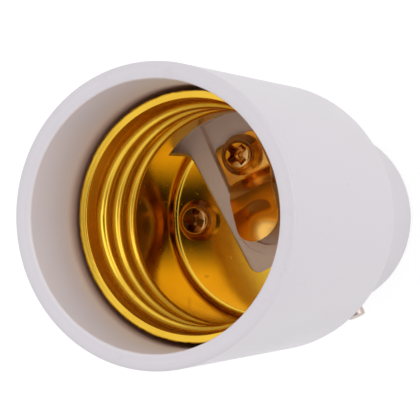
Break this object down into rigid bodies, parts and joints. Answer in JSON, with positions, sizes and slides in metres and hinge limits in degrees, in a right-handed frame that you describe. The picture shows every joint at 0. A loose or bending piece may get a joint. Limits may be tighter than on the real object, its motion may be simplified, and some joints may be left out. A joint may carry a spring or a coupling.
{
  "type": "lamp socket adapter",
  "caption": "Flared plastic lamp socket adapter: a brass screw shell and sprung centre contact inside a round skirt, on a narrower neck with side pins and flat end contacts.",
  "frame": {"origin": "on the adapter's axis, in the plane of the neck's end ring and the end contacts' faces", "axes": "+Z along the axis, out of the screw mouth; the bayonet pins lie along Y and the end contacts along X"},
  "size_m": [0.034, 0.034, 0.052],
  "materials": {
    "white_plastic": "smooth moulded, softly glossy",
    "insulator_plastic": "dark moulded insulator, satin",
    "shell_brass": "bright rolled sheet",
    "contact_brass": "bright stamped strip",
    "screw_brass": "bright plated",
    "pin_nickel": "nickel plated",
    "rivet_metal": "nickel plated, dull"
  },
  "bodies": {
    "root": {"housing": "white_plastic", "end_insulator": "insulator_plastic", "end_contact_left": "rivet_metal", "end_contact_right": "rivet_metal", "bayonet_pin_left": "pin_nickel", "bayonet_pin_right": "pin_nickel", "shell_lead": "contact_brass", "centre_lead": "contact_brass", "centre_contact": "contact_brass", "screw_shell": "shell_brass", "centre_screw": "screw_brass", "shell_screw": "screw_brass"}
  },
  "joints": []
}
